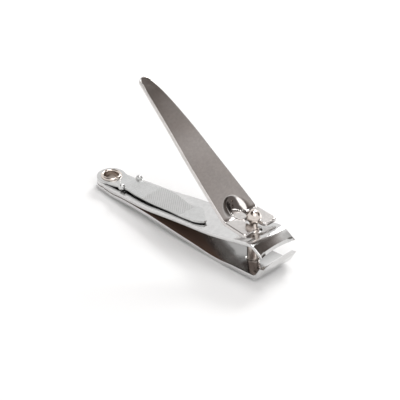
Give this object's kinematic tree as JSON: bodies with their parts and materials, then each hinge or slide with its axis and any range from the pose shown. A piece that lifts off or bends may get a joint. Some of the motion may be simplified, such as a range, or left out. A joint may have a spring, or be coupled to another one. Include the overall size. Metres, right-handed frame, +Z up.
{
  "type": "nail clipper",
  "caption": "Folding nail clipper of chromed spring-steel arms with a raised pressing lever, swing-out file and open jaws.",
  "frame": {"origin": "middle of the clipper's length and width, on the plane that it rests on", "axes": "+X from the rear eyelet to the jaws, +Y across the jaws, +Z up"},
  "size_m": [0.0656, 0.012, 0.0384],
  "materials": {
    "arm_chrome": "polished",
    "lever_chrome": "polished",
    "file_steel": "cross-cut",
    "warm_nickel": "polished"
  },
  "bodies": {
    "lower_jaw": {"lower_arm": "arm_chrome", "eyelet": "warm_nickel", "upper_arm_root": "arm_chrome"},
    "upper_jaw": {"upper_arm": "arm_chrome"},
    "file": {"nail_file": "file_steel"},
    "pin": {"pin": "warm_nickel"},
    "lever": {"lever": "lever_chrome"}
  },
  "joints": [
    {"name": "jaw_close", "type": "hinge", "parent": "lower_jaw", "child": "upper_jaw", "pos_m": [-0.01495, 0, 0.00325], "axis": [0, 1, 0], "range_deg": [0, 3.5], "stiffness_Nm_per_rad": 1},
    {"name": "file_swing", "type": "hinge", "parent": "lower_jaw", "child": "file", "pos_m": [-0.02895, 0, 0.0032], "axis": [0, 0, 1], "continuous": true},
    {"name": "pin_swivel", "type": "hinge", "parent": "lower_jaw", "child": "pin", "pos_m": [0.02355, 0, 0], "axis": [0, 0, 1], "continuous": true},
    {"name": "lever_press", "type": "hinge", "parent": "pin", "child": "lever", "pos_m": [0.02355, 0, 0.01402], "axis": [0, -1, 0], "range_deg": [0, 22], "stiffness_Nm_per_rad": 0.03}
  ],
  "couplings": [
    {"joint": "jaw_close", "follows": "lever_press", "ratio": 0.15909}
  ]
}
